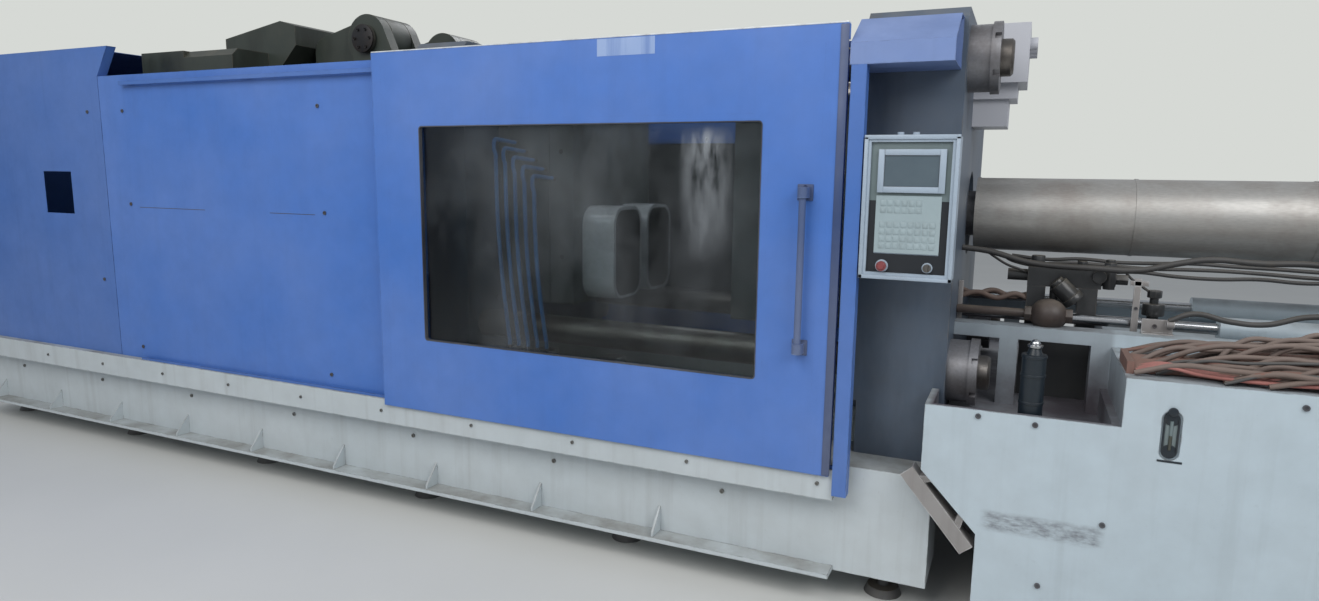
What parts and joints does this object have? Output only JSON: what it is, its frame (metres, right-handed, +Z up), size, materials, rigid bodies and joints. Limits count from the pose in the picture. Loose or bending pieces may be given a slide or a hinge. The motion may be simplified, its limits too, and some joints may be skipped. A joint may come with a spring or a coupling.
{
  "type": "injection moulding machine",
  "caption": "Large horizontal injection moulding machine with a double toggle clamp, sliding gates, control box, barrel on a carriage and hopper.",
  "frame": {"origin": "on the floor, in the middle of the machine in plan", "axes": "+X along the machine to the injection side, -Y to the operator, +Z up"},
  "size_m": [11, 2.4398, 3.0813],
  "materials": {
    "blue_paint": "semi-gloss machine paint",
    "white_paint": "pale grey-white paint, dusty and stained",
    "bed_paint": "pale blue-grey paint",
    "iron_paint": "dark grey paint on a casting",
    "olive_paint": "dark olive paint on castings",
    "steel": "machined and oiled",
    "chrome": "polished",
    "cover_sheet": "stained thin sheet",
    "mould_steel": "ground, oily",
    "pane": "tinted clear sheet",
    "dark_parts": "black",
    "panel_paint": "pale grey box",
    "screen": "dark display",
    "keypad": "grey-green key sheet",
    "button": "dull red",
    "hose": "blue hose",
    "cable": "brown and red cable"
  },
  "bodies": {
    "root": {"clamp_bed": "white_paint", "levelling_feet": "dark_parts", "stationary_platen": "iron_paint", "tie_bars": "steel", "platen_nuts": "steel", "front_toggle_guard": "blue_paint", "front_tail_guard": "blue_paint", "rear_toggle_guard": "blue_paint", "rear_tail_guard": "blue_paint", "end_cover": "blue_paint", "front_header": "blue_paint", "rear_header": "blue_paint", "front_gate_post": "blue_paint", "rear_gate_post": "blue_paint", "gate_rails": "steel", "fixed_mould": "mould_steel", "control_box": "panel_paint", "control_screen": "screen", "control_keypad": "keypad", "injection_bed": "bed_paint", "deflector": "bed_paint", "lubricator": "dark_parts", "valve_stack": "dark_parts", "cable_bundle": "cable", "pull_in_rods": "chrome"},
    "front_gate": {"front_gate_panel": "blue_paint", "front_gate_pane": "pane", "front_gate_handle": "blue_paint", "front_gate_rollers": "steel"},
    "rear_gate": {"rear_gate_panel": "blue_paint", "rear_gate_pane": "pane", "rear_gate_rollers": "steel"},
    "tail_stock": {"tail_stock": "olive_paint", "tail_pins": "steel", "clamp_cylinder": "olive_paint", "guide_rods": "chrome", "die_height_nuts": "steel", "die_height_drive": "steel"},
    "upper_rear_link": {"upper_rear_link": "olive_paint"},
    "upper_front_link": {"upper_front_link": "olive_paint", "upper_knuckle_pins": "steel"},
    "lower_rear_link": {"lower_rear_link": "olive_paint"},
    "lower_front_link": {"lower_front_link": "olive_paint", "lower_knuckle_pins": "steel"},
    "upper_cross_link": {"upper_cross_link": "olive_paint"},
    "lower_cross_link": {"lower_cross_link": "olive_paint"},
    "crosshead": {"crosshead": "olive_paint"},
    "moving_platen": {"moving_platen": "iron_paint", "moving_mould": "mould_steel", "mould_hoses": "hose"},
    "ejector": {"ejector": "steel"},
    "stop_button": {"stop_button": "button"},
    "selector_knob": {"selector_knob": "dark_parts"},
    "carriage": {"carriage": "bed_paint", "barrel": "steel", "barrel_cover": "cover_sheet", "hopper": "cover_sheet"},
    "screw_drive": {"screw_drive": "iron_paint"},
    "screw": {"screw": "steel"},
    "hopper_lid": {"hopper_lid": "cover_sheet"}
  },
  "joints": [
    {"name": "front_gate_slide", "type": "slide", "parent": "root", "child": "front_gate", "axis": [-1, 0, 0], "range_m": [0, 2.1]},
    {"name": "rear_gate_slide", "type": "slide", "parent": "root", "child": "rear_gate", "axis": [-1, 0, 0], "range_m": [0, 2.1]},
    {"name": "die_height", "type": "slide", "parent": "root", "child": "tail_stock", "axis": [-1, 0, 0], "range_m": [0, 0.25]},
    {"name": "toggle", "type": "hinge", "parent": "tail_stock", "child": "upper_rear_link", "pos_m": [-2.37055, 0, 1.96], "axis": [0, 1, 0], "range_deg": [0, 62]},
    {"name": "upper_knuckle", "type": "hinge", "parent": "upper_rear_link", "child": "upper_front_link", "pos_m": [-2.01977, 0, 2.71224], "axis": [0, 1, 0], "range_deg": [-124, 0]},
    {"name": "upper_platen_pin", "type": "hinge", "parent": "upper_front_link", "child": "moving_platen", "pos_m": [-1.669, 0, 1.96], "axis": [0, 1, 0], "range_deg": [0, 62]},
    {"name": "lower_rear_pin", "type": "hinge", "parent": "tail_stock", "child": "lower_rear_link", "pos_m": [-2.37055, 0, 1.49], "axis": [0, 1, 0], "range_deg": [-62, 0]},
    {"name": "lower_knuckle", "type": "hinge", "parent": "lower_rear_link", "child": "lower_front_link", "pos_m": [-2.01977, 0, 0.73777], "axis": [0, 1, 0], "range_deg": [0, 124]},
    {"name": "upper_cross_pin", "type": "hinge", "parent": "upper_rear_link", "child": "upper_cross_link", "pos_m": [-2.34178, 0, 2.28874], "axis": [0, 1, 0], "range_deg": [-124, 0]},
    {"name": "crosshead_pin", "type": "hinge", "parent": "upper_cross_link", "child": "crosshead", "pos_m": [-2.31302, 0, 1.96], "axis": [0, 1, 0], "range_deg": [0, 62]},
    {"name": "lower_cross_pin", "type": "hinge", "parent": "lower_rear_link", "child": "lower_cross_link", "pos_m": [-2.34178, 0, 1.16126], "axis": [0, 1, 0], "range_deg": [0, 124]},
    {"name": "ejector_slide", "type": "slide", "parent": "moving_platen", "child": "ejector", "axis": [1, 0, 0], "range_m": [0, 0.11]},
    {"name": "stop_press", "type": "slide", "parent": "root", "child": "stop_button", "axis": [0, 1, 0], "range_m": [0, 0.006], "stiffness_N_per_m": 1500},
    {"name": "selector_turn", "type": "hinge", "parent": "root", "child": "selector_knob", "pos_m": [1.454, -1.15, 1.545], "axis": [0, 1, 0], "range_deg": [-45, 45]},
    {"name": "carriage_slide", "type": "slide", "parent": "root", "child": "carriage", "axis": [1, 0, 0], "range_m": [0, 0.5]},
    {"name": "screw_stroke", "type": "slide", "parent": "carriage", "child": "screw_drive", "axis": [1, 0, 0], "range_m": [0, 0.4]},
    {"name": "screw_spin", "type": "hinge", "parent": "screw_drive", "child": "screw", "pos_m": [3.953, 0, 1.725], "axis": [1, 0, 0], "continuous": true},
    {"name": "hopper_lid_hinge", "type": "hinge", "parent": "carriage", "child": "hopper_lid", "pos_m": [4.156, 0, 3.051], "axis": [0, 1, 0], "range_deg": [0, 95]}
  ],
  "couplings": [
    {"joint": "upper_knuckle", "follows": "toggle", "ratio": -2},
    {"joint": "upper_platen_pin", "follows": "toggle", "ratio": 1},
    {"joint": "lower_rear_pin", "follows": "toggle", "ratio": -1},
    {"joint": "lower_knuckle", "follows": "toggle", "ratio": 2},
    {"joint": "upper_cross_pin", "follows": "toggle", "ratio": -2},
    {"joint": "crosshead_pin", "follows": "toggle", "ratio": 1},
    {"joint": "lower_cross_pin", "follows": "toggle", "ratio": 2}
  ]
}
